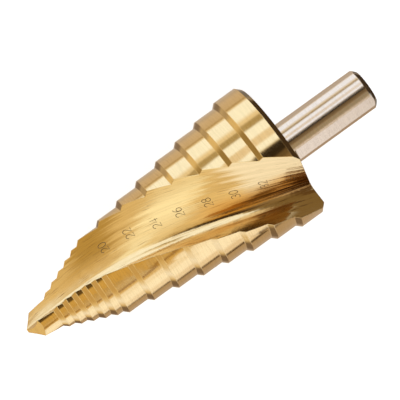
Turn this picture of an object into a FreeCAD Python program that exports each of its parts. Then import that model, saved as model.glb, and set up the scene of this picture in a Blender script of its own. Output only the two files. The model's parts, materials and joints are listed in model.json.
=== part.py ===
import FreeCAD, Part
import math
import os

import Sketcher
from FreeCAD import Placement, Rotation, Vector

# A step drill for sheet metal, ground from one bar: a stepped cone of fourteen cutting
# diameters from 8 to 34 mm, two helical chip flutes, a chisel point and a straight shank
# with three flats for the chuck's jaws. Each step has its full radius only at its cutting
# edge. Behind the edge it falls away to a slightly smaller circle, so that it doesn't rub.
#
# The drill is drawn standing on its point, with its axis on Z and its point at the origin.
# It is then laid on its side, as it rests on a bench.

doc = FreeCAD.newDocument("step_drill")

# Driving dimensions in millimetres and degrees, one cell each. Places along the axis are
# counted from the point.
DIMENSIONS = [
    ("pilot_diameter", 8, "first cutting diameter"),
    ("small_step_growth", 2, "growth in diameter from one small step to the next"),
    ("small_step_length", 2.5, "pitch of the small steps"),
    ("large_step_growth", 2, "growth in diameter from one large step to the next"),
    ("large_step_length", 6, "pitch of the large steps"),
    ("step_cone_run", 1.05, "axial length of the bevel that leads into each step"),
    ("pilot_length", 7, "point to the first bevel"),
    ("rear_land_length", 5.4, "last land, bevel to rear edge"),
    ("rear_chamfer", 1.1, "45 degree chamfer round the rear edge"),
    ("relief_depth", 0.22, "how far a step falls away behind its cutting edge"),
    ("relief_width", 2.6, "length of arc over which it falls away"),
    ("shank_diameter", 10, "shank, held in the chuck"),
    ("shank_length", 23.2, "rear face to shank end"),
    ("shank_chamfer", 1.05, "45 degree chamfer on the shank end"),
    ("chamfer_crown", 4, "radius of that chamfer's slightly crowned face"),
    ("flat_depth", 0.26, "how deep each jaw flat is ground"),
    ("flat_gap", 0.9, "rear face to the start of a flat"),
    ("flat_wheel_radius", 1.2, "curve at the start of a flat, from the wheel's edge"),
    ("flat_angle", 45, "bearing of the first flat about the axis"),
    ("facet_slope", 39, "tilt of the two point facets from square to the axis"),
    ("chisel_angle", 111, "bearing of the chisel edge about the axis"),
    ("web_at_point", 0.4, "axis to flute floor, at the point"),
    ("web_growth", 0.153, "how much the floor rises for each millimetre of length"),
    ("flute_lead", 220, "length in which a flute would turn once round"),
    ("flute_angle", -51.2, "bearing of the flute floor's normal at the point"),
    ("flute_wall_offset", 2.05, "rake wall, sideways from the axis"),
    ("flute_wall_lean", 8, "lean of the rake wall from square to the floor"),
    ("flute_corner_radius", 2.4, "radius between floor and rake wall"),
    ("rest_tilt", 6.7, "slope of the axis when the drill lies on a bench, point down"),
    ("rest_bearing", 21.7, "bearing about the axis that then faces up"),
]
SMALL_STEPS = 5
LARGE_STEPS = 8
FLUTES = 2
FLATS = 3
FLUTE_STATIONS = 12
# Longest stretch, in millimetres, that a margin is drawn straight along.
MARGIN_STRETCH = 3
# A size below this counts as nothing, and so does a change of volume below the other.
NOTHING = 1e-9
LEAST_CHANGE = 0.1

sheet = doc.addObject("Spreadsheet::Sheet", "Sizes")
for row, (alias, size, note) in enumerate(DIMENSIONS, start=1):
    sheet.set("A%d" % row, note)
    sheet.set("B%d" % row, str(size))
    sheet.setAlias("B%d" % row, alias)
doc.recompute()

# Named places along the axis and radii, as formulas of the cells.
PILOT_RADIUS = "Sizes.pilot_diameter / 2"
SHANK_RADIUS = "Sizes.shank_diameter / 2"
LARGE_START = "Sizes.pilot_length + %d * Sizes.small_step_length" % SMALL_STEPS
LAST_BEVEL = "%s + %d * Sizes.large_step_length" % (LARGE_START, LARGE_STEPS - 1)
REAR_EDGE = LAST_BEVEL + " + Sizes.step_cone_run + Sizes.rear_land_length"
REAR_FACE = REAR_EDGE + " + Sizes.rear_chamfer"
SHANK_END = REAR_FACE + " + Sizes.shank_length"
LEAN = "Sizes.flute_wall_lean * 1 deg"
# How far a cutting section is drawn past the steel.
OVERRUN = PILOT_RADIUS
# How far a margin is drawn past its two ends, as a share of its width, and how many relief
# depths its root lies under the full radius.
MARGIN_OVERLAP = "0.2"
MARGIN_ROOT = "4"


def step_radius(small, large):
    """Radius after the given numbers of small and large steps."""
    growth = "%d * Sizes.small_step_growth + %d * Sizes.large_step_growth" % (small, large)
    return "%s + (%s) / 2" % (PILOT_RADIUS, growth)


LARGEST_RADIUS = step_radius(SMALL_STEPS, LARGE_STEPS)


def value_of(formula):
    """What a formula of the cells comes to now."""
    found = sheet.evalExpression(formula)
    return float(getattr(found, "Value", found))


def pin(sketch, line, end, across, along):
    """Hold one end of a line at two formulas, measured from the sketch's origin."""
    axes = (("DistanceX", across, -2), ("DistanceY", along, -1))
    for kind, formula, axis in axes:
        size = value_of(formula)
        if abs(size) < NOTHING:
            sketch.addConstraint(Sketcher.Constraint("PointOnObject", line, end, axis))
        elif size > 0:
            place = sketch.addConstraint(Sketcher.Constraint(kind, -1, 1, line, end, size))
            sketch.setExpression("Constraints[%d]" % place, formula)
        else:
            place = sketch.addConstraint(Sketcher.Constraint(kind, line, end, -1, 1, -size))
            sketch.setExpression("Constraints[%d]" % place, "-(%s)" % formula)


def origin_feature(body, role):
    """One of the body's own planes or axes."""
    return next(item for item in body.Origin.OriginFeatures if item.Role == role)


def new_sketch(body, name, plane):
    """A sketch on one of the body's own planes."""
    sketch = body.newObject("Sketcher::SketchObject", name)
    sketch.AttachmentSupport = [(origin_feature(body, plane), "")]
    sketch.MapMode = "FlatFace"
    return sketch


def bulging_arc(first, last, size):
    """The arc that runs from one place to another and bulges out to the right."""
    chord = last - first
    left = Vector(-chord.y, chord.x, 0).normalize()
    centre = (first + last) * 0.5 + left * (size ** 2 - chord.Length ** 2 / 4) ** 0.5
    circle = Part.Circle(centre, Vector(0, 0, 1), size)
    return Part.ArcOfCircle(circle, circle.parameter(first), circle.parameter(last))


def draw_outline(sketch, corners, arcs={}):
    """A closed outline, every corner pinned to its two formulas.

    Its lines are straight, apart from those that arcs gives a radius for.
    """
    places = [Vector(value_of(across), value_of(along), 0) for across, along in corners]
    count = len(corners)
    for index in range(count):
        first, last = places[index], places[(index + 1) % count]
        if index in arcs:
            line = bulging_arc(first, last, value_of(arcs[index]))
        else:
            line = Part.LineSegment(first, last)
        sketch.addGeometry(line, False)
    for index in range(count):
        previous = (index - 1) % count
        sketch.addConstraint(Sketcher.Constraint("Coincident", previous, 2, index, 1))
        pin(sketch, index, 1, *corners[index])
    for index, radius in arcs.items():
        place = sketch.addConstraint(Sketcher.Constraint("Radius", index, value_of(radius)))
        sketch.setExpression("Constraints[%d]" % place, radius)


def around_axis(body, name, feature, count):
    """Repeat a feature evenly round the axis."""
    pattern = body.newObject("PartDesign::PolarPattern", name)
    pattern.Originals = [feature]
    pattern.Axis = (origin_feature(body, "Z_Axis"), [""])
    pattern.Angle = 360
    pattern.Occurrences = count
    body.Tip = pattern
    return pattern


def step_corners():
    """The stepped outline at the cutting edges: radius across, place along the axis."""
    corners = [(PILOT_RADIUS, "0")]
    for step in range(SMALL_STEPS + LARGE_STEPS):
        small = min(step, SMALL_STEPS)
        large = step - small
        bevel = "Sizes.pilot_length + %d * Sizes.small_step_length" % small
        bevel += " + %d * Sizes.large_step_length" % large
        after = (small + 1, large) if step < SMALL_STEPS else (small, large + 1)
        corners.append((step_radius(small, large), bevel))
        corners.append((step_radius(*after), bevel + " + Sizes.step_cone_run"))
    corners.append((LARGEST_RADIUS, REAR_EDGE))
    corners.append((LARGEST_RADIUS + " - Sizes.rear_chamfer", REAR_FACE))
    return corners


def turned_outline():
    """Half the blank's section: the steps less their relief, then the shank."""
    relieved = [("%s - Sizes.relief_depth" % radius, along) for radius, along in step_corners()]
    shank = [
        (SHANK_RADIUS, REAR_FACE),
        (SHANK_RADIUS, SHANK_END + " - Sizes.shank_chamfer"),
        (SHANK_RADIUS + " - Sizes.shank_chamfer", SHANK_END),
        ("0", SHANK_END),
    ]
    return [("0", "0")] + relieved + shank


def turn_blank(body):
    """The stepped blank with its shank, turned about the axis."""
    profile = new_sketch(body, "blank_profile", "XZ_Plane")
    outline = turned_outline()
    end_chamfer = len(outline) - 3
    draw_outline(profile, outline, {end_chamfer: "Sizes.chamfer_crown"})
    blank = body.newObject("PartDesign::Revolution", "blank")
    blank.Profile = profile
    blank.ReferenceAxis = (origin_feature(body, "Z_Axis"), [""])
    blank.Angle = 360
    return blank


def flute_bearing(height):
    """Bearing of the flute floor's normal at a place along the axis."""
    return "(Sizes.flute_angle + (%s) * 360 / Sizes.flute_lead)" % height


def flute_floor(height):
    """Distance from the axis to the flute floor at a place along the axis."""
    return "(Sizes.web_at_point + (%s) * Sizes.web_growth)" % height


def margin_section(body, number, radius, height):
    """The steel that a step keeps behind its cutting edge, cut square to the axis.

    Its arc has the step's own radius but another centre: it starts at full radius on the
    cutting edge and meets the relieved circle a relief width behind it. The section is drawn
    a little past both ends and a little into the blank, so that the two fuse.
    """
    sketch = new_sketch(body, "margin_section_%02d" % number, "XY_Plane")
    sketch.setExpression("AttachmentOffset.Base.z", height)
    sketch.setExpression("AttachmentOffset.Rotation.Angle", flute_bearing(height))
    wall = "Sizes.flute_wall_offset + (%s - %s) * tan(%s)" % (radius, flute_floor(height), LEAN)
    edge = "asin((%s) / (%s))" % (wall, radius)
    width = "Sizes.relief_width / (%s) * 1 rad" % radius
    lead = "(%s - %s * %s)" % (edge, MARGIN_OVERLAP, width)
    trail = "(%s + (1 + %s) * %s)" % (edge, MARGIN_OVERLAP, width)
    proud = "(%s + %s * Sizes.relief_depth)" % (radius, MARGIN_OVERLAP)
    sunk = "(%s - (1 + %s) * Sizes.relief_depth)" % (radius, MARGIN_OVERLAP)
    root = "(%s - %s * Sizes.relief_depth)" % (radius, MARGIN_ROOT)
    corners = [
        ("%s * cos%s" % (distance, bearing), "%s * sin%s" % (distance, bearing))
        for distance, bearing in ((proud, lead), (sunk, trail), (root, trail), (root, lead))
    ]
    draw_outline(sketch, corners, {0: radius})
    return sketch


def margin_stations():
    """Where the margin is drawn: at each corner of the steps, and between distant ones."""
    corners = step_corners()
    stations = []
    for (radius, height), (next_radius, next_height) in zip(corners, corners[1:]):
        stretch = value_of("%s - (%s)" % (next_height, height))
        parts = math.ceil(stretch / MARGIN_STRETCH)
        for part in range(parts):
            share = "%d / %d" % (part, parts)
            stations.append((
                "(%s + %s * (%s - (%s)))" % (radius, share, next_radius, radius),
                "(%s + %s * (%s - (%s)))" % (height, share, next_height, height),
            ))
    stations.append(corners[-1])
    return stations


def add_margins(body):
    """The two margins, one behind each cutting edge from point to rear face."""
    sections = [
        margin_section(body, number, radius, height)
        for number, (radius, height) in enumerate(margin_stations())
    ]
    doc.recompute()
    margin = body.newObject("PartDesign::AdditiveLoft", "margin")
    margin.Profile = sections[0]
    margin.Sections = sections[1:]
    margin.Ruled = True
    return around_axis(body, "margins", margin, FLUTES)


def flute_section(body, station):
    """The flute's section square to the axis, at one of the stations along it.

    Across is outwards from the floor, along is from heel to cutting edge. The section is
    the same everywhere: it turns with the lead and moves outwards as the web thickens. It
    is drawn past the steel on every side. Half the largest radius is height enough, because
    the floor rises with the steps.
    """
    sketch = new_sketch(body, "flute_section_%02d" % station, "XY_Plane")
    share = "%d / %d" % (station, FLUTE_STATIONS - 1)
    height = "-%s + %s * (%s + 2 * %s)" % (OVERRUN, share, REAR_FACE, OVERRUN)
    bearing = flute_bearing(height)
    offset = "AttachmentOffset."
    sketch.setExpression(offset + "Base.x", "%s * cos(%s * 1 deg)" % (flute_floor(height), bearing))
    sketch.setExpression(offset + "Base.y", "%s * sin(%s * 1 deg)" % (flute_floor(height), bearing))
    sketch.setExpression(offset + "Base.z", height)
    sketch.setExpression(offset + "Rotation.Angle", bearing)

    radius = "Sizes.flute_corner_radius"
    top = "(%s) / 2" % LARGEST_RADIUS
    heel_end = "-(%s + %s)" % (LARGEST_RADIUS, OVERRUN)
    # The corner's arc is tangent to the floor and to the leaning wall.
    centre = "Sizes.flute_wall_offset + %s * tan(%s) - %s / cos(%s)" % (radius, LEAN, radius, LEAN)
    arc_end_across = "%s - %s * sin(%s)" % (radius, radius, LEAN)
    arc_end_along = "%s + %s * cos(%s)" % (centre, radius, LEAN)
    wall_top = "Sizes.flute_wall_offset + %s * tan(%s)" % (top, LEAN)
    corners = [
        ("0", heel_end),
        ("0", centre),
        (arc_end_across, arc_end_along),
        (top, wall_top),
        (top, heel_end),
    ]
    heel, floor_end, wall_foot, wall_head, outside = [
        Vector(value_of(across), value_of(along), 0) for across, along in corners
    ]
    turning = Part.Circle(Vector(value_of(radius), value_of(centre), 0), Vector(0, 0, 1), value_of(radius))
    arc = Part.ArcOfCircle(turning, turning.parameter(wall_foot), turning.parameter(floor_end))
    sketch.addGeometry(Part.LineSegment(heel, floor_end), False)
    sketch.addGeometry(arc, False)
    sketch.addGeometry(Part.LineSegment(wall_foot, wall_head), False)
    sketch.addGeometry(Part.LineSegment(wall_head, outside), False)
    sketch.addGeometry(Part.LineSegment(outside, heel), False)
    for first, end, second, start in ((0, 2, 1, 2), (1, 1, 2, 1), (2, 2, 3, 1), (3, 2, 4, 1), (4, 2, 0, 1)):
        sketch.addConstraint(Sketcher.Constraint("Coincident", first, end, second, start))
    for line, end, corner in ((0, 1, 0), (0, 2, 1), (2, 1, 2), (2, 2, 3), (3, 2, 4)):
        pin(sketch, line, end, *corners[corner])
    size = value_of(radius)
    place = sketch.addConstraint(Sketcher.Constraint("DistanceX", -1, 1, 1, 3, size))
    sketch.setExpression("Constraints[%d]" % place, radius)
    return sketch


def grind_flutes(body):
    """The two chip flutes: one section lofted along its stations, then repeated."""
    sections = [flute_section(body, station) for station in range(FLUTE_STATIONS)]
    doc.recompute()
    flute = body.newObject("PartDesign::SubtractiveLoft", "flute")
    flute.Profile = sections[0]
    flute.Sections = sections[1:]
    return around_axis(body, "flutes", flute, FLUTES)


def upright_sketch(body, name, bearing):
    """A sketch in the plane that holds the axis and the given bearing: outwards, upwards."""
    sketch = new_sketch(body, name, "XZ_Plane")
    sketch.AttachmentOffset = Placement(Vector(0, 0, 0), Rotation(Vector(0, 1, 0), value_of(bearing)))
    sketch.setExpression("AttachmentOffset.Rotation.Angle", bearing)
    return sketch


def cut_through(body, name, sketch, width):
    """A pocket of the sketch, reaching half the width to each side of its plane."""
    pocket = body.newObject("PartDesign::Pocket", name)
    pocket.Profile = sketch
    pocket.SideType = "Symmetric"
    pocket.setExpression("Length", width)
    return pocket


def grind_point(body):
    """Two flat facets that meet in the chisel edge and leave the cutting lips in front."""
    sketch = upright_sketch(body, "facet_profile", "Sizes.chisel_angle + 90")
    rise = "Sizes.pilot_diameter * tan(Sizes.facet_slope * 1 deg)"
    corners = [
        ("0", "0"),
        ("Sizes.pilot_diameter", rise),
        ("Sizes.pilot_diameter", "-Sizes.pilot_diameter"),
        ("-Sizes.pilot_diameter", "-Sizes.pilot_diameter"),
        ("-Sizes.pilot_diameter", rise),
    ]
    draw_outline(sketch, corners)
    return cut_through(body, "point_facets", sketch, "2 * Sizes.pilot_diameter")


def grind_flats(body):
    """Three flats on the shank, out through its end, each with a curved start."""
    sketch = upright_sketch(body, "flat_profile", "Sizes.flat_angle")
    face = SHANK_RADIUS + " - Sizes.flat_depth"
    curve = "Sizes.flat_wheel_radius"
    curve_run = "sqrt(2 * %s * Sizes.flat_depth - Sizes.flat_depth ^ 2)" % curve
    curve_end = "%s + Sizes.flat_gap + %s" % (REAR_FACE, curve_run)
    beyond = SHANK_END + " + Sizes.shank_chamfer"
    corners = [
        ("%s + %s" % (face, curve), "%s - %s" % (curve_end, curve)),
        ("%s + %s" % (face, curve), beyond),
        (face, beyond),
        (face, curve_end),
    ]
    start, outside, end, foot = [
        Vector(value_of(across), value_of(along), 0) for across, along in corners
    ]
    size = value_of(curve)
    wheel = Part.Circle(Vector(start.x, foot.y, 0), Vector(0, 0, 1), size)
    sketch.addGeometry(Part.LineSegment(start, outside), False)
    sketch.addGeometry(Part.LineSegment(outside, end), False)
    sketch.addGeometry(Part.LineSegment(end, foot), False)
    arc = Part.ArcOfCircle(wheel, wheel.parameter(foot), wheel.parameter(start))
    sketch.addGeometry(arc, False)
    for first, second in ((0, 1), (1, 2), (2, 3), (3, 0)):
        sketch.addConstraint(Sketcher.Constraint("Coincident", first, 2, second, 1))
    for line in range(3):
        pin(sketch, line, 1, *corners[line])
    pin(sketch, 2, 2, *corners[3])
    place = sketch.addConstraint(Sketcher.Constraint("Radius", 3, size))
    sketch.setExpression("Constraints[%d]" % place, curve)

    flat = cut_through(body, "flat", sketch, "2 * Sizes.shank_diameter")
    return around_axis(body, "flats", flat, FLATS)


def lay_down(body):
    """Lay the drill on its side, axis along X, lowest point on the bench under its middle."""
    tilt = "Sizes.rest_tilt * 1 deg"
    rise, run = value_of("sin(%s)" % tilt), value_of("cos(%s)" % tilt)
    along_bench = Rotation(Vector(-rise, 0, run), Vector(0, -1, 0), Vector(run, 0, rise), "ZXY")
    roll = Rotation(Vector(0, 0, 1), -value_of("Sizes.rest_bearing"))
    body.Placement = Placement(Vector(0, 0, 0), along_bench.multiply(roll))
    box = body.Shape.optimalBoundingBox(True, False)
    body.Placement.Base = Vector(-box.Center.x, -box.Center.y, -box.ZMin)


def check(document, body):
    """Stop if any feature failed, or if the drill isn't one sound solid."""
    for item in document.Objects:
        if {"Invalid", "Error"} & set(item.State):
            raise RuntimeError("%s failed: %s" % (item.Name, item.State))
    shape = body.Shape
    if shape.isNull() or not shape.isValid() or len(shape.Solids) != 1:
        raise RuntimeError("%s is not one valid solid" % body.Label)


def changes(before, after):
    """Stop if a feature neither added nor took away any steel."""
    if abs(after.Shape.Volume - before.Shape.Volume) < LEAST_CHANGE:
        raise RuntimeError("%s changes nothing" % after.Name)


body = doc.addObject("PartDesign::Body", "step_drill")
body.Label = "step_drill"
stages = []
for make in (turn_blank, add_margins, grind_flutes, grind_point, grind_flats):
    stages.append(make(body))
    doc.recompute()
for before, after in zip(stages, stages[1:]):
    changes(before, after)
lay_down(body)
doc.recompute()
check(doc, body)

print("volume %.0f mm3, %d faces" % (body.Shape.Volume, len(body.Shape.Faces)))
os.makedirs("parts", exist_ok=True)
body.Shape.exportStep("parts/%s.step" % body.Label)
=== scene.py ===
import json
import math

import bpy
from mathutils import Matrix, Vector


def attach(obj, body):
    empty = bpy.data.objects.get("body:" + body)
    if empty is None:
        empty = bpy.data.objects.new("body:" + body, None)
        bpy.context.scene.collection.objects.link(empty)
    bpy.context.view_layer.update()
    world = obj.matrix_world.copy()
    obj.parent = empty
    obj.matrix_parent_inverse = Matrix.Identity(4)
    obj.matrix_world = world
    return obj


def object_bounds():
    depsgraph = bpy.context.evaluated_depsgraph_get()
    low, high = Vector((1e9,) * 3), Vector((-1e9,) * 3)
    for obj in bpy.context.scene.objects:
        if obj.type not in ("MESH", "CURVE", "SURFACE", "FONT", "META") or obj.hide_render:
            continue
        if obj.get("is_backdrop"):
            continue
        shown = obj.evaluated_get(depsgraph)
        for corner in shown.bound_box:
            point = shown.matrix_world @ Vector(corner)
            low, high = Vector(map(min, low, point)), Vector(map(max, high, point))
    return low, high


# %% [markdown]
# The drill itself comes from the frame: one solid, ground from one bar. Its shape could be
# drawn again here, but it is already exact, so this lesson only gives it a finish, adds the
# diameters that are marked in the flute, and sets it on a bench under studio light. The
# box round it is kept, to show at the end that nothing has made the drill any bigger.

# %% Load the drill
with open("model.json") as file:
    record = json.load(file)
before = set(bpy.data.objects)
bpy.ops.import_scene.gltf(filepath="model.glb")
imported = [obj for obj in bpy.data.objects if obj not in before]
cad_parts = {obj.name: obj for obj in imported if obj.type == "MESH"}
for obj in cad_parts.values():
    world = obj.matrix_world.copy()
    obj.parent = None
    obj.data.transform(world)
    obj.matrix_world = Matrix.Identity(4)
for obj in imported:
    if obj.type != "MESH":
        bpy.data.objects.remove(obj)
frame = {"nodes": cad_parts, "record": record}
cad_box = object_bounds()
drill = frame["nodes"]["step_drill"]
MM = 0.001
length = (cad_box[1] - cad_box[0]).x / MM
print("drill: %d faces, %.1f mm long" % (len(drill.data.polygons), length))

# %% [markdown]
# Everything on a turned tool is told by three measures: how far along the axis, how far out
# from it, and which way round. They could be read off the bench's own X, Y and Z, but the
# drill lies tilted and rolled. So its own axes are found first, from the two places where a
# chuck holds it: the shank gives the axis, and the first jaw flat, 45 degrees round from the
# direction called bearing 0, gives the roll. The point is where the mesh ends on that axis.

# %% The drill's own axes
FLAT_BEARING = math.radians(45)
mounts = {mount["name"]: mount for mount in frame["record"]["mounts"]}
axis = Vector(mounts["shank"]["axis"]).normalized()
flat_normal = Vector(mounts["jaw_flat"]["axis"]).normalized()
bearing_0 = (Matrix.Rotation(-FLAT_BEARING, 3, axis) @ flat_normal).normalized()
bearing_90 = axis.cross(bearing_0)
on_axis = Vector(mounts["shank"]["pos_m"])
point = on_axis + axis * min((vertex.co - on_axis).dot(axis) for vertex in drill.data.vertices)
print("point at", [round(x / MM, 2) for x in point], "axis", [round(x, 4) for x in axis])


def in_row(along, out, side):
    """A place given in the drill's own measures, in millimetres, as a place on the bench."""
    return point + (axis * along + bearing_0 * out + bearing_90 * side) * MM


def in_drill(place):
    """A place on the bench in the drill's own measures: along, out, side, in millimetres."""
    away = (place - point) / MM
    return away.dot(axis), away.dot(bearing_0), away.dot(bearing_90)


# %% [markdown]
# The flute is a ruled floor that turns as it goes: at each place along the axis it is a
# straight line, square to a bearing that advances with the lead, and a little further out
# the nearer it is to the shank. Knowing that rule lets the marks be laid on the floor, and
# lets the grinding lines follow it later. The four numbers are the drill's own.

# %% The rule of the flute
FLOOR_BEARING = math.radians(-51.2)
FLUTE_LEAD = 220
WEB_AT_POINT = 0.4
WEB_GROWTH = 0.153
FLUTE_TURN = 2 * math.pi / FLUTE_LEAD  # radians for each millimetre along


def on_floor(along, across, proud=0):
    """A place on the floor of the marked flute, or a little proud of it, in the row frame."""
    facing = FLOOR_BEARING + FLUTE_TURN * along
    height = WEB_AT_POINT + WEB_GROWTH * along + proud
    out = height * math.cos(facing) - across * math.sin(facing)
    side = height * math.sin(facing) + across * math.cos(facing)
    return in_row(along, out, side)


print("the floor turns %.1f degrees a centimetre" % math.degrees(10 * FLUTE_TURN))

# %% [markdown]
# The photograph was taken with a long lens from nearly square above the axis, looking a
# little towards the shank. The camera is placed from the drill's own measures, so it keeps
# its view of the steps even if the drill should come to rest another way.

# %% The camera
LOOK_AT = (47.597, 0.052, -1.202)  # along, out, side, in millimetres
VIEW_BACK = (-0.09213, 0.99574, -0.00259)
VIEW_UP = (0.5828, 0.05181, -0.81096)
CAMERA_DISTANCE = 0.9
LENS = 368.15
NEAREST_SEEN, FURTHEST_SEEN = 0.05, 20


def in_row_direction(measures):
    """A direction given as along, out, side, turned into the row frame."""
    along, out, side = measures
    return (axis * along + bearing_0 * out + bearing_90 * side).normalized()


camera = bpy.data.objects.new("camera", bpy.data.cameras.new("camera"))
bpy.context.scene.collection.objects.link(camera)
bpy.context.scene.camera = camera
back, up = in_row_direction(VIEW_BACK), in_row_direction(VIEW_UP)
right = up.cross(back).normalized()
up = back.cross(right)
turned = Matrix((right, up, back)).transposed().to_4x4()
camera.matrix_world = Matrix.Translation(in_row(*LOOK_AT) + back * CAMERA_DISTANCE) @ turned
camera.data.lens = LENS
camera.data.clip_start, camera.data.clip_end = NEAREST_SEEN, FURTHEST_SEEN
bpy.context.scene.view_settings.view_transform = "Standard"
print("camera looks down by %.1f degrees" % math.degrees(math.asin(back.z)))

# %% [markdown]
# Materials are made of many small nodes. A few short helpers keep the cells readable. The
# first adds a node and wires its inputs; the next ones do sums, blend two colours, and fade
# a value softly from one level to another.

# %% Helpers for nodes
BLEND_FIRST, BLEND_SECOND, BLEND_RESULT = 6, 7, 2  # the Mix node's sockets for colours


def wire(tree, node, wires):
    """Link each named input of a node to a socket, or give it a value."""
    for name, value in dict(wires).items():
        if isinstance(value, bpy.types.NodeSocket):
            tree.links.new(value, node.inputs[name])
        else:
            node.inputs[name].default_value = value


def add(tree, kind, wires=(), **settings):
    """A node of a kind, with its settings and its inputs wired."""
    node = tree.nodes.new(kind)
    for name, value in settings.items():
        setattr(node, name, value)
    wire(tree, node, wires)
    return node


def sum_of(tree, operation, *values):
    """The result of one sum on numbers or sockets."""
    return add(tree, "ShaderNodeMath", enumerate(values), operation=operation).outputs[0]


def product(tree, first, *others):
    """Several values multiplied together."""
    for other in others:
        first = sum_of(tree, "MULTIPLY", first, other)
    return first


def blend_of(tree, share, first, second):
    """One colour fading into another as the share goes from 0 to 1."""
    wires = {"Factor": share, BLEND_FIRST: first, BLEND_SECOND: second}
    return add(tree, "ShaderNodeMix", wires, data_type="RGBA").outputs[BLEND_RESULT]


def fade(tree, value, start, end, low=0.0, high=1.0):
    """Low up to the start, high past the end, and a soft change between."""
    wires = {"Value": value, "From Min": start, "From Max": end, "To Min": low, "To Max": high}
    return add(tree, "ShaderNodeMapRange", wires, interpolation_type="SMOOTHSTEP").outputs[0]


# %% [markdown]
# An effect that several materials share is built once, as a node group with named inputs and
# outputs, and placed in each material with its own values. Two helpers do that. A third reads
# a direction, or the way from the point to a spot, along the drill's own three axes.

# %% Helpers for node groups


def start_group(name, inputs, outputs):
    """An empty node group: its tree, its input node's sockets and its output node."""
    tree = bpy.data.node_groups.new(name, "ShaderNodeTree")
    for kind, sockets in (("INPUT", inputs), ("OUTPUT", outputs)):
        for label, form in sockets:
            tree.interface.new_socket(label, in_out=kind, socket_type="NodeSocket" + form)
    entry = tree.nodes.new("NodeGroupInput")
    return tree, entry.outputs, tree.nodes.new("NodeGroupOutput")


def use_group(tree, group, wires=()):
    """A node group placed in a tree and wired up; its outputs."""
    node = tree.nodes.new("ShaderNodeGroup")
    node.node_tree = group
    wire(tree, node, wires)
    return node.outputs


def measured(tree, way, unit=1.0):
    """How far a way goes along the axis, out at bearing 0, and aside at bearing 90."""
    sockets = []
    for direction in (axis, bearing_0, bearing_90):
        wires = {0: way, 1: direction / unit}
        node = add(tree, "ShaderNodeVectorMath", wires, operation="DOT_PRODUCT")
        sockets.append(node.outputs["Value"])
    return sockets


# %% [markdown]
# Polished metal has no look of its own: it shows what stands round it. A studio hangs white
# and dark cards along the tool, and their long reflections are what makes a round shank look
# round. Real cards could be modelled, but they would get in the way of views from the side.
# So they are painted on the world instead: each is a soft-edged patch of sky, given by its
# bearing round the drill's axis and its slant along it. The slant counts up towards the
# shank. A card that stands askew leans, so its bearing changes with its slant.

# %% One soft card
tree, given, result = start_group(
    "soft_card",
    [(name, "Float") for name in ("Bearing", "Slant", "From", "To", "Low", "High", "Soft", "Lean")],
    [("Mask", "Float")],
)
mask = 1.0
leaning = sum_of(tree, "MULTIPLY_ADD", given["Slant"], given["Lean"], given["Bearing"])
for measure, lower, upper in ((leaning, "From", "To"), (given["Slant"], "Low", "High")):
    for edge, before, after in ((lower, 0.0, 1.0), (upper, 1.0, 0.0)):
        start = sum_of(tree, "SUBTRACT", given[edge], given["Soft"])
        end = sum_of(tree, "ADD", given[edge], given["Soft"])
        mask = product(tree, mask, fade(tree, measure, start, end, before, after))
tree.links.new(mask, result.inputs["Mask"])
soft_card = tree
print("a soft card takes", len(tree.interface.items_tree) - 1, "values")

# %% [markdown]
# The cards stand as in a small studio: a window on the left, a lamp on the right, a grey wall
# between them behind the camera, the bench below, and a dark room beyond the shank. Each one
# is found by looking where a land, a cone or the flute floor is light or dark, and working
# out which way that face looks. One painted later covers the ones before.

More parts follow.
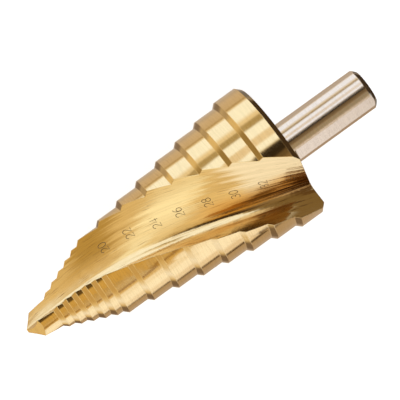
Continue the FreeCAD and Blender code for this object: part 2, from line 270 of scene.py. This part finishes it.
# %% The cards
# Bearing from and to, slant from and to, softness, all in degrees; how many degrees of bearing
# the card leans over for each one of slant; then the light it gives.
ROOM = (0.92, 0.79, 0.52)
CARDS = (
    ("room beyond the point, left", (-112, -8, -90, -57, 5, 0), (0.4, 0.31, 0.15)),
    ("room beyond the point, right", (-8, 107, -90, -56, 6, 0), (0.73, 0.56, 0.29)),
    ("bench, left", (-190, -106, -24, 40, 4, 0), (0.76, 0.67, 0.58)),
    ("bench, further left", (-190, -140, -24, 40, 9, 0), (0.63, 0.56, 0.49)),
    ("bench, right", (116, 190, -12, 40, 3, 0), (0.56, 0.46, 0.36)),
    ("dark strip on the bench", (117.5, 124.5, 3.5, 16, 2, 0), (0.1, 0.06, 0.02)),
    ("shade under the drill, left", (-190, -152, -42, -5, 6, 0.3), (0.3, 0.24, 0.19)),
    ("bench beyond the point, left", (-172, -127, -46, -28, 5, 0), (0.55, 0.47, 0.36)),
    ("shade under the drill, right", (140, 190, -32, -8, 6, 0), (0.24, 0.18, 0.13)),
    ("window", (-104, -14, -12, 27, 3, 0), (1.29, 1.54, 2.11)),
    ("window's frame", (-112, -108, -2, 22, 1.5, 0), (0.57, 0.47, 0.31)),
    ("window's left half, fading", (-74, -57, 1, 11, 5, 0), (1.04, 0.98, 0.85)),
    ("window bar", (-65, -53.5, 1.5, 11, 2, 0), (0.54, 0.46, 0.27)),
    ("window's edge", (-37, -24.5, 1, 9, 1.5, 0), (1.0, 0.95, 0.9)),
    ("white card over the point", (-53, -2, -41, -18, 10, 1.6), (1.31, 1.41, 1.44)),
    ("tan card, point side", (-84, -48, -50, -20, 6, 0.7), (0.6, 0.44, 0.16)),
    ("window's foot", (-22, 0, -19, -10, 3, 0), (1.25, 1.35, 1.4)),
    ("pale wall, low", (35, 72, -22, -10, 4, 0), (1.1, 0.97, 0.68)),
    ("lamp, right", (80, 115, -10, 10, 3, 0), (1.32, 1.45, 1.8)),
    ("lamp, right, fading side", (102, 116, 3.8, 10, 5, 0), (0.9, 0.78, 0.66)),
    ("lamp, right, lower part", (73, 100, -10, 0, 3, 0), (1.3, 1.4, 1.74)),
    ("lamp, right, lower end", (100, 121, -3, 3.3, 1.5, 0), (1.3, 1.4, 1.7)),
    ("lamp, right, over the point", (73, 133, -51, -12, 8, 0), (1.22, 1.35, 1.7)),
    ("grey wall", (4, 60, -5, 17, 3, 0), (0.41, 0.39, 0.34)),
    ("warm wall", (10, 68, -5, 4.2, 2.5, 0), (0.84, 0.6, 0.2)),
    ("grey wall's bright side", (40, 60, 4, 17, 6, 0), (0.7, 0.64, 0.55)),
    ("lamp, right, near edge", (67, 90, -1, 5.7, 4, 0), (1.32, 1.45, 1.8)),
    ("dark edge of the wall", (55.5, 60, 0, 6, 2.5, 0), (0.34, 0.19, 0.06)),
    ("reflector beside the wall", (43, 72, 6, 11, 1, 0), (1.3, 1.35, 1.5)),
    ("dark slot", (32, 118, -9, -2, 2, 0), (0.2, 0.12, 0.059)),
    ("room beyond the shank", (-190, 190, 38, 90, 4, 0), (0.065, 0.046, 0.03)),
    ("ceiling beyond the shank", (-96, 96, 36, 66, 6, 0), (0.8, 0.9, 1.1)),
    ("grey wall, shank side", (-190, -112, 17, 36, 5, 0), (0.22, 0.21, 0.21)),
    ("grey wall, shank side, right", (128, 190, 18, 36, 4, 0), (0.22, 0.23, 0.25)),
    ("camera hood", (25, 77, 15, 61, 9, 1.8), (0.24, 0.175, 0.085)),
    ("camera body", (62, 160, 10, 60, 4, 1.6), (0.14, 0.083, 0.033)),
    ("soft box over the bench", (42, 112, 27, 66, 6, 0), (0.95, 1.1, 1.35)),
    ("soft shade beside the lens", (-11, 20, 4.8, 17, 3, 0), (0.27, 0.2, 0.13)),
    ("shade beside the lens", (-11, 11, 4.8, 17, 3, 0), (0.15, 0.11, 0.065)),
    ("shade under the lens", (-11, 15.5, -6, 4.8, 2.5, 0), (0.14, 0.09, 0.025)),
    ("lens", (-12.5, 3, -2, 15, 2.5, 0), (0.035, 0.025, 0.015)),
)
print("cards round the drill:", len(CARDS))

# %% [markdown]
# The world paints the cards one over the other and gives their light to everything in it.
# Only the camera sees plain white instead, because the background of the picture is a white
# backdrop, and a card that hangs in it would look odd.

# %% The studio
world = bpy.data.worlds.new("studio")
bpy.context.scene.world = world
world.use_nodes = True
tree = world.node_tree
tree.nodes.clear()
direction = add(tree, "ShaderNodeTexCoord").outputs["Generated"]
along, out, side = measured(tree, direction)
bearing = sum_of(tree, "DEGREES", sum_of(tree, "ARCTAN2", side, out))
slant = sum_of(tree, "DEGREES", sum_of(tree, "ARCSINE", along))
light = (*ROOM, 1)
for name, (start, end, low, high, soft, lean), colour in CARDS:
    wires = {"Bearing": bearing, "Slant": slant, "From": start, "To": end, "Low": low, "High": high}
    share = use_group(tree, soft_card, {**wires, "Soft": soft, "Lean": lean})["Mask"]
    light = blend_of(tree, share, light, (*colour, 1))
seen = add(tree, "ShaderNodeLightPath").outputs["Is Camera Ray"]
studio = add(tree, "ShaderNodeBackground", {"Color": light, "Strength": 1.0}).outputs[0]
plain = add(tree, "ShaderNodeBackground", {"Color": (1, 1, 1, 1), "Strength": 1.0}).outputs[0]
chosen = add(tree, "ShaderNodeMixShader", {0: seen, 1: studio, 2: plain}).outputs[0]
add(tree, "ShaderNodeOutputWorld", {"Surface": chosen})
print("nodes in the studio's world:", len(tree.nodes))

# %% [markdown]
# The bench is a plain white sheet. It has to read as white without lighting the drill any
# brighter, so part of its white is its own glow, shown only to the camera. The rest is lit,
# and that part keeps the drill's shadow. The metal would mirror a sheet without an end, so
# for its reflections the sheet is clear, and the bench's tones are painted with the cards.

# %% The bench
BENCH_SIZE = 8.0
BENCH_GREY = (0.6, 0.6, 0.6)
BENCH_GLOW = 0.78
bpy.ops.mesh.primitive_plane_add(size=BENCH_SIZE, location=(0, 0, 0))
bench = bpy.context.object
bench.name = "bench"
bench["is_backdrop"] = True
white = bpy.data.materials.new("white_sheet")
white.use_nodes = True
tree = white.node_tree
tree.nodes.clear()
path = add(tree, "ShaderNodeLightPath").outputs
glow = product(tree, path["Is Camera Ray"], BENCH_GLOW)
lit = add(tree, "ShaderNodeBsdfDiffuse", {"Color": (*BENCH_GREY, 1)}).outputs[0]
own = add(tree, "ShaderNodeEmission", {"Color": (1, 1, 1, 1), "Strength": glow}).outputs[0]
both = add(tree, "ShaderNodeAddShader", {0: lit, 1: own}).outputs[0]
clear = add(tree, "ShaderNodeBsdfTransparent").outputs[0]
wires = {0: path["Is Glossy Ray"], 1: both, 2: clear}
sheet = add(tree, "ShaderNodeMixShader", wires).outputs[0]
add(tree, "ShaderNodeOutputMaterial", {"Surface": sheet})
bench.data.materials.append(white)
print("bench: %g m across" % BENCH_SIZE)

# %% [markdown]
# The same measures are needed inside the materials: how far along, how far out and which way
# round each spot lies. A node group works them out from the object's coordinates, so a
# pattern can run round the axis as turning lines do, or along the flute as grinding lines do.
# In the flute a spot is told by how far across the floor it lies, counted from right over
# the axis and up towards the wall, then how far above the floor, and how far along. The
# second flute is the first one turned half round, so its measures are turned with it.

# %% The drill's measures inside a material
tree, given, result = start_group(
    "drill_measures", [], [("Round The Axis", "Vector"), ("In Flute", "Vector")]
)
place = add(tree, "ShaderNodeTexCoord").outputs["Object"]
away = add(tree, "ShaderNodeVectorMath", {0: place, 1: point}, operation="SUBTRACT").outputs[0]
along, out, side = measured(tree, away, MM)
squares = [sum_of(tree, "POWER", measure, 2) for measure in (out, side)]
radius = sum_of(tree, "SQRT", sum_of(tree, "ADD", *squares))
bearing = sum_of(tree, "ARCTAN2", side, out)
turn = sum_of(tree, "MULTIPLY_ADD", along, FLUTE_TURN, FLOOR_BEARING)
cosine, sine = sum_of(tree, "COSINE", turn), sum_of(tree, "SINE", turn)
height = sum_of(tree, "ADD", product(tree, out, cosine), product(tree, side, sine))
across = sum_of(tree, "SUBTRACT", product(tree, side, cosine), product(tree, out, sine))
across = product(tree, across, sum_of(tree, "SIGN", height))
web = sum_of(tree, "MULTIPLY_ADD", along, WEB_GROWTH, WEB_AT_POINT)
above = sum_of(tree, "SUBTRACT", sum_of(tree, "ABSOLUTE", height), web)
for name, parts in (
    ("Round The Axis", (radius, bearing, along)),
    ("In Flute", (across, above, along)),
):
    together = add(tree, "ShaderNodeCombineXYZ", enumerate(parts)).outputs[0]
    tree.links.new(together, result.inputs[name])
drill_measures = tree
print("nodes that measure the drill:", len(tree.nodes))

# %% [markdown]
# Every ground or turned face is covered in fine lines left by the wheel or the tool. They
# could be drawn one by one, but they are countless and uneven, which is just what noise
# gives when it is stretched a long way in the direction of the cut. The group squeezes the
# measures for that, and gives a fine set of lines and a broad set.

# %% Lines left by the cut
LINE_DETAIL = 3.0
LINE_UNEVENNESS = 0.6
tree, given, result = start_group(
    "cut_lines",
    [("Where", "Vector"), ("Squeeze", "Vector"), ("Fine", "Float"), ("Broad", "Float")],
    [("Fine Lines", "Float"), ("Broad Lines", "Float")],
)
wires = {0: given["Where"], 1: given["Squeeze"]}
squeezed = add(tree, "ShaderNodeVectorMath", wires, operation="MULTIPLY").outputs[0]
for label in ("Fine", "Broad"):
    wires = {"Vector": squeezed, "Scale": given[label]}
    wires.update({"Detail": LINE_DETAIL, "Roughness": LINE_UNEVENNESS})
    lines = add(tree, "ShaderNodeTexNoise", wires).outputs[0]
    tree.links.new(lines, result.inputs[label + " Lines"])
cut_lines = tree
print("sets of lines:", len(result.inputs) - 1)

# %% [markdown]
# The gold is a coating of titanium nitride a few thousandths of a millimetre thick, so the
# lines of the steel under it show through, and some of them hold a darker trace. The steel
# itself is bare on the shank. One recipe serves both, as a group: the broad lines shade the
# colour a little, the fine ones make it rougher or smoother, and where a slow pattern lets
# them, the strongest fine lines turn dark. A material can also ask for more such traces.

# %% The finish of ground metal
TRACE = (0.27, 0.13, 0.03)
SHADED = (0.92, 0.92, 0.92)
BROAD_SPAN = (0.35, 0.65)
FINE_SPAN = (0.3, 0.7)
TRACE_SPAN = (0.55, 0.72)
CLUSTER_SPAN = (0.42, 0.6)
CLUSTER_SCALE = 0.22
FEWEST_TRACES = 0.1
FINE_HEIGHT = 0.35
SMOOTHER, ROUGHER = 0.75, 1.25
numbers = ("Roughness", "Traces", "More Traces", "Fine Lines", "Broad Lines")
tree, given, result = start_group(
    "ground_finish",
    [("Where", "Vector"), ("Colour", "Color")] + [(name, "Float") for name in numbers],
    [("Tone", "Color"), ("Roughness", "Float"), ("Height", "Float")],
)
fine, broad = given["Fine Lines"], given["Broad Lines"]
wires = {0: given["Colour"], 1: SHADED}
shade = add(tree, "ShaderNodeVectorMath", wires, operation="MULTIPLY").outputs[0]
tone = blend_of(tree, fade(tree, broad, *BROAD_SPAN), shade, given["Colour"])
wires = {"Vector": given["Where"], "Scale": CLUSTER_SCALE, "Detail": 1.0}
cluster = add(tree, "ShaderNodeTexNoise", wires).outputs[0]
spread = fade(tree, cluster, *CLUSTER_SPAN, FEWEST_TRACES, 1.0)
spread = sum_of(tree, "MAXIMUM", spread, given["More Traces"])
traces = product(tree, fade(tree, fine, *TRACE_SPAN, 0.0, given["Traces"]), spread)
tree.links.new(blend_of(tree, traces, tone, (*TRACE, 1)), result.inputs["Tone"])
levels = [product(tree, given["Roughness"], level) for level in (SMOOTHER, ROUGHER)]
tree.links.new(fade(tree, fine, *FINE_SPAN, *levels), result.inputs["Roughness"])
height = sum_of(tree, "ADD", product(tree, fine, FINE_HEIGHT), broad)
tree.links.new(height, result.inputs["Height"])
ground_finish = tree
print("nodes in the finish:", len(tree.nodes))

# %% [markdown]
# A flute is cut by the rim of a wheel, which leaves its floor and its wall slightly hollow
# and a little wavy. Modelled, that would be a few hundredths of a millimetre, too small to
# see except in the reflections. So it is done there alone: the direction in which the face
# looks is turned a few degrees about the axis, one way on the floor, the other on the wall,
# and to and fro with the lines.

# %% The hollow of the flute
FLOOR_HOLLOW = -5  # degrees, as are the next three
WALL_HOLLOW = 10
FLUTE_WAVE = 3
FLUTE_RIPPLE = 2
FLOOR_SPAN = (-0.2, -1.2)  # millimetres across, away from the corner
WALL_SPAN = (0.1, 1.5)  # millimetres above the floor


def hollowed(tree, where, lines, normal):
    """The direction that a flute face looks in, turned by its hollow and its waves."""
    across, above, along = add(tree, "ShaderNodeSeparateXYZ", {0: where}).outputs
    floor_turn = fade(tree, across, *FLOOR_SPAN, 0.0, FLOOR_HOLLOW)
    wall_turn = fade(tree, above, *WALL_SPAN, 0.0, WALL_HOLLOW)
    wave = fade(tree, lines["Broad Lines"], *FINE_SPAN, -FLUTE_WAVE, FLUTE_WAVE)
    ripple = fade(tree, lines["Fine Lines"], *FINE_SPAN, -FLUTE_RIPPLE, FLUTE_RIPPLE)
    hollow = sum_of(tree, "ADD", floor_turn, wall_turn)
    turn = sum_of(tree, "ADD", hollow, sum_of(tree, "ADD", wave, ripple))
    wires = {"Vector": normal, "Axis": axis, "Angle": sum_of(tree, "RADIANS", turn)}
    return add(tree, "ShaderNodeVectorRotate", wires).outputs[0]


# %% [markdown]
# In the flute's corner, and more so towards the shank, a reflection of dark surroundings is
# painted into the colour: the gold is painted brown there, and the broad lines are painted
# dark. Near the point the outer floor holds more dark traces than elsewhere. All three could be
# painted on the mesh, but told by the flute's own measures they follow its turn exactly.

# %% Painted reflection in the flute
# Colours of a painted reflection: brown, then dark, painted into the flute's corner towards the
# shank.
BROWN_REFLECTION = (0.62, 0.3, 0.06)
DARK_REFLECTION = (0.11, 0.05, 0.015)
BROWN_REFLECTION_SHARE, DARK_REFLECTION_SHARE = 0.75, 0.9
FLOOR_SIDE = (-4.5, -1)  # millimetres across, as is the next one
WALL_SIDE = (1.9, 0.8)
BROWN_REFLECTION_ALONG = (41, 51)  # millimetres along, as are the next three
DARK_REFLECTION_ALONG = (48, 65)
WIDER_ALONG = (54, 66)
POINT_SIDE = (36, 14)
BROWN_REFLECTION_WIDENS = 3.0
DARK_REFLECTION_LINE_SPAN = (0.4, 0.56)
OUTER_FLOOR = (-2, -6)


def point_traces(tree, where):
    """The share of more dark traces: full on the outer floor near the point."""
    across, above, along = add(tree, "ShaderNodeSeparateXYZ", {0: where}).outputs
    return product(tree, fade(tree, along, *POINT_SIDE), fade(tree, across, *OUTER_FLOOR))


def heated(tree, where, lines, tone):
    """The tone, with a painted brown and then a painted dark reflection in the flute's corner
    towards the shank.
    """
    across, above, along = add(tree, "ShaderNodeSeparateXYZ", {0: where}).outputs
    wall_side = fade(tree, across, *WALL_SIDE)
    widened = sum_of(tree, "ADD", across, fade(tree, along, *WIDER_ALONG, 0.0, BROWN_REFLECTION_WIDENS))
    brown_reflection = product(tree, fade(tree, widened, *FLOOR_SIDE), wall_side)
    brown_reflection = product(tree, brown_reflection, fade(tree, along, *BROWN_REFLECTION_ALONG, 0.0, BROWN_REFLECTION_SHARE))
    tone = blend_of(tree, brown_reflection, tone, (*BROWN_REFLECTION, 1))
    dark_reflection = product(tree, fade(tree, across, *FLOOR_SIDE), wall_side, fade(tree, along, *DARK_REFLECTION_ALONG))
    dark_reflection_lines = fade(tree, lines["Broad Lines"], *DARK_REFLECTION_LINE_SPAN, 0.0, DARK_REFLECTION_SHARE)
    return blend_of(tree, product(tree, dark_reflection, dark_reflection_lines), tone, (*DARK_REFLECTION, 1))


# %% [markdown]
# Each of the four machined finishes is the same recipe with its own values. Its edges are
# rounded a little by the Bevel node, because no real edge is perfectly sharp and each one
# carries a thin line of light. On that the lines stand up by about a hundredth of a
# millimetre at most. In the flutes they run along, everywhere else they run round the axis.

# %% The four finishes
GOLD = (0.8, 0.56, 0.25)
STEEL = (0.71, 0.55, 0.375)
EDGE_ROUNDING = 0.18
BEVEL_SAMPLES = 6
ROUND_THE_AXIS = (0.2, 0.25, 1)  # squeeze of radius, bearing and along
ALONG_THE_FLUTE = (1, 0.25, 0.03)  # squeeze of across, above and along


def ground_metal(name, colour, fine, broad, depth, roughness, traces, flute=False):
    """A metal with lines in one direction, round the axis or along the flute."""
    material = bpy.data.materials.new(name)
    material.use_nodes = True
    tree = material.node_tree
    tree.nodes.clear()
    where = use_group(tree, drill_measures)["In Flute" if flute else "Round The Axis"]
    squeeze = ALONG_THE_FLUTE if flute else ROUND_THE_AXIS
    wires = {"Where": where, "Squeeze": squeeze, "Fine": fine, "Broad": broad}
    lines = use_group(tree, cut_lines, wires)
    wires = {"Where": where, "Colour": (*colour, 1), "Roughness": roughness, "Traces": traces}
    wires.update({label: lines[label] for label in ("Fine Lines", "Broad Lines")})
    if flute:
        wires["More Traces"] = point_traces(tree, where)
    finish = use_group(tree, ground_finish, wires)
    tone = finish["Tone"]
    wires = {"Radius": EDGE_ROUNDING * MM}
    normal = add(tree, "ShaderNodeBevel", wires, samples=BEVEL_SAMPLES).outputs[0]
    if flute:
        # Paints a brown and a dark reflection into the flute's corner towards the shank.
        tone = heated(tree, where, lines, tone)
        normal = hollowed(tree, where, lines, normal)
    wires = {"Strength": 1.0, "Distance": depth * MM, "Height": finish["Height"], "Normal": normal}
    bump = add(tree, "ShaderNodeBump", wires).outputs[0]
    wires = {"Base Color": tone, "Metallic": 1.0, "Roughness": finish["Roughness"], "Normal": bump}
    shader = add(tree, "ShaderNodeBsdfPrincipled", wires).outputs[0]
    add(tree, "ShaderNodeOutputMaterial", {"Surface": shader})
    print("%s: %d nodes, lines %g mm deep" % (name, len(tree.nodes), depth))
    return material


turned_gold = ground_metal(
    "turned_gold", GOLD, fine=13, broad=8, depth=0.004, roughness=0.1, traces=0.3
)
ground_gold = ground_metal(
    "ground_gold", GOLD, fine=5, broad=1.1, depth=0.012, roughness=0.14, traces=1.0, flute=True
)
facet_gold = ground_metal(
    "facet_gold", GOLD, fine=3, broad=1.0, depth=0.0003, roughness=0.2, traces=0.0
)
shank_steel = ground_metal(
    "shank_steel", STEEL, fine=13, broad=7, depth=0.006, roughness=0.13, traces=0.25
)

# %% [markdown]
# Between two steps a short cone leads up from one land to the next. Each cone is listed by
# where it starts and the radius of the land that it rises from, all in millimetres, so that
# it can be told later whether a face lies deeper than the lands.

# %% The cones between the steps
PILOT_LENGTH, PILOT_RADIUS = 7, 4
SMALL_STEP, SMALL_CONES = 2.5, 6
LARGE_STEP, LARGE_CONES = 6, 8
CONE_LENGTH = 1.05
CONES = [(PILOT_LENGTH + SMALL_STEP * n, PILOT_RADIUS + n) for n in range(SMALL_CONES)]
last_start, last_radius = CONES[-1]
CONES += [(last_start + LARGE_STEP * n, last_radius + n) for n in range(1, LARGE_CONES + 1)]


def land_before(along):
    """The radius of the land before the last cone that a place along the axis has passed."""
    return max([PILOT_RADIUS] + [size for start, size in CONES if along > start + CONE_LENGTH])


print("cones start at", [start for start, size in CONES])

# %% [markdown]
# Each face of the drill is then given the finish of the machine that made it. The faces
# could be picked by hand, but they tell it themselves: a turned face looks straight out from
# the axis or along it, a flute face looks sideways or lies deeper than the land before it,
# and a point facet looks steeply forward. All that lies behind the rear face is the shank.

# %% Which machine cut which face
FINISHES = (turned_gold, ground_gold, facet_gold, shank_steel)
TURNED, FLUTE, FACET, SHANK = range(len(FINISHES))
REAR_FACE = 69.07
FACET_REACH = 3.6
LOOKS_FORWARD, LOOKS_BACK = -0.6, 0.999
SIDEWAYS, BARELY_OUTWARDS = 0.156, 0.3
DEEPER = 0.56
ON_THE_AXIS = 1e-6


def finish_of(face):
    """The finish of one face, from where it lies and where it looks."""
    along, out, side = in_drill(face.center)
    looks_along = face.normal.dot(axis)
    looks_out, looks_aside = face.normal.dot(bearing_0), face.normal.dot(bearing_90)
    radius = max(math.hypot(out, side), ON_THE_AXIS)
    if along > REAR_FACE:
        return SHANK
    if along < FACET_REACH and looks_along < LOOKS_FORWARD:
        return FACET
    if looks_along > LOOKS_BACK:
        return TURNED
    around = (looks_aside * out - looks_out * side) / radius
    outwards = (looks_out * out + looks_aside * side) / radius
    if abs(around) > SIDEWAYS or outwards < BARELY_OUTWARDS:
        return FLUTE
    return FLUTE if radius < land_before(along) - DEEPER else TURNED


drill.data.materials.clear()
for finish in FINISHES:
    drill.data.materials.append(finish)
counts = [0] * len(FINISHES)
for face in drill.data.polygons:
    face.material_index = finish_of(face)
    counts[face.material_index] += 1
print("faces turned, ground in the flutes, ground on the point, on the shank:", counts)

# %% [markdown]
# Beside each large step the flute floor carries its diameter, burnt in by a laser with one
# thin stroke. A font would give filled outlines, which look printed, so the digits are
# written here as strokes: a few arcs and lines each, laid on the floor as a flat ribbon.

# %% The digits as strokes
DIGIT_HEIGHT = 1.85
DIGIT_WIDTH = 0.95
DIGIT_PITCH = 1.25
STROKE = 0.13


def arc(x, y, wide, high, start, end, steps=14):
    """Points along part of an ellipse, angles in degrees, counter-clockwise if end > start."""
    turns = [math.radians(start + (end - start) * step / steps) for step in range(steps + 1)]
    return [(x + wide * math.cos(turn), y + high * math.sin(turn)) for turn in turns]


# Each digit fills a box one wide and one high; y goes up.
STROKES = {
    "0": [arc(0.5, 0.5, 0.5, 0.5, 90, 450, 28)],
    "2": [arc(0.5, 0.7, 0.46, 0.3, 165, -35) + [(0.04, 0.0), (1.0, 0.0)]],
    "3": [arc(0.46, 0.75, 0.42, 0.25, 150, -90) + arc(0.48, 0.26, 0.5, 0.26, 90, -150)[1:]],
    "4": [[(0.78, 0.0), (0.78, 1.0), (0.0, 0.3), (1.0, 0.3)]],
    "6": [arc(0.9, 0.36, 0.85, 0.64, 95, 180, 10) + arc(0.5, 0.3, 0.45, 0.3, 180, 540, 24)[1:]],
    "8": [arc(0.5, 0.76, 0.4, 0.24, -90, 270, 24) + arc(0.5, 0.26, 0.48, 0.26, 90, -270, 24)[1:]],
}

# Diameter marked, then where its middle lies: along the axis and across the floor.
MARKS = (
    (20, 24.0, -4.4), (22, 30.1, -4.25), (24, 36.1, -3.6), (26, 41.5, -3.85),
    (28, 47.8, -3.75), (30, 53.6, -3.65), (32, 60.0, -4.2), (34, 65.5, -4.3),
)
print("digits drawn:", sorted(STROKES))

# %% [markdown]
# A stroke becomes a ribbon by stepping to each side of its line by half its width. The
# ribbon is laid a hundredth of a millimetre proud of the floor and given a little depth,
# so it lies on the steel like a burnt line and can't flicker in and out of it.

# %% A stroke as a ribbon
PROUD = 0.012
SUNK = -0.02
CORNERS = 4  # left and right of the line, on top and sunk in the floor


def ribbon(points):
    """Left and right edges of a stroke drawn along a run of points."""
    edges = []
    for index, here in enumerate(points):
        before, after = points[max(index - 1, 0)], points[min(index + 1, len(points) - 1)]
        run = Vector((after[0] - before[0], after[1] - before[1])).normalized()
        away = Vector((-run.y, run.x)) * STROKE / 2
        edges.append((Vector(here) + away, Vector(here) - away))
    return edges


def ribbon_faces(first, points):
    """The faces of a ribbon: its top, bottom and sides step by step, and its two ends."""
    faces = []
    for step in range(points - 1):
        a, b = first + CORNERS * step, first + CORNERS * (step + 1)
        faces += [(a, a + 1, b + 1, b), (a + 2, b + 2, b + 3, a + 3)]
        faces += [(a, b, b + 2, a + 2), (a + 1, a + 3, b + 3, b + 1)]
    last = first + CORNERS * (points - 1)
    faces += [(first, first + 2, first + 3, first + 1), (last, last + 1, last + 3, last + 2)]
    return faces


def write_mark(diameter, along, across):
    """One diameter as a mesh: it reads across the floor, with its top towards the point."""
    places, faces = [], []
    for column, digit in enumerate(str(diameter)):
        shift = (column - 0.5) * DIGIT_PITCH - DIGIT_WIDTH / 2
        for stroke in STROKES[digit]:
            line = [(x * DIGIT_WIDTH + shift, (y - 0.5) * DIGIT_HEIGHT) for x, y in stroke]
            faces += ribbon_faces(len(places), len(line))
            for pair in ribbon(line):
                for proud in (PROUD, SUNK):
                    places += [on_floor(along - y, across - x, proud) for x, y in pair]
    mesh = bpy.data.meshes.new("mark_%d" % diameter)
    mesh.from_pydata(places, [], faces)
    mesh.validate()
    mark = bpy.data.objects.new("mark_%d" % diameter, mesh)
    bpy.context.scene.collection.objects.link(mark)
    return mark


# %% [markdown]
# The laser leaves a brown scorch that is hardly metallic any more and a little uneven. One
# flat brown would look like ink, so a fine speckle blends two browns.

# %% Write the marks in the flute
SCORCHED = (0.06, 0.03, 0.01)
SINGED = (0.15, 0.09, 0.03)
SPECKLE_SCALE = 9000.0
burnt = bpy.data.materials.new("laser_burnt")
burnt.use_nodes = True
tree = burnt.node_tree
wires = {"Scale": SPECKLE_SCALE, "Detail": 2.0}
speckle = add(tree, "ShaderNodeTexNoise", wires).outputs[0]
scorch = blend_of(tree, speckle, (*SCORCHED, 1), (*SINGED, 1))
wires = {"Base Color": scorch, "Metallic": 0.2, "Roughness": 0.45}
wire(tree, tree.nodes["Principled BSDF"], wires)
for diameter, along, across in MARKS:
    mark = write_mark(diameter, along, across)
    mark.data.materials.append(burnt)
    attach(mark, "root")
print("marks written:", [mark[0] for mark in MARKS])

# %% [markdown]
# Nothing added may make the drill bigger than the frame. Both boxes are measured, and how far the
# box grew is printed.

# %% Compare the boxes and finish
visual_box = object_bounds()
growth = max((visual_box[end] - cad_box[end]).length / MM for end in (0, 1))
print("box grew by %.4f mm" % growth)
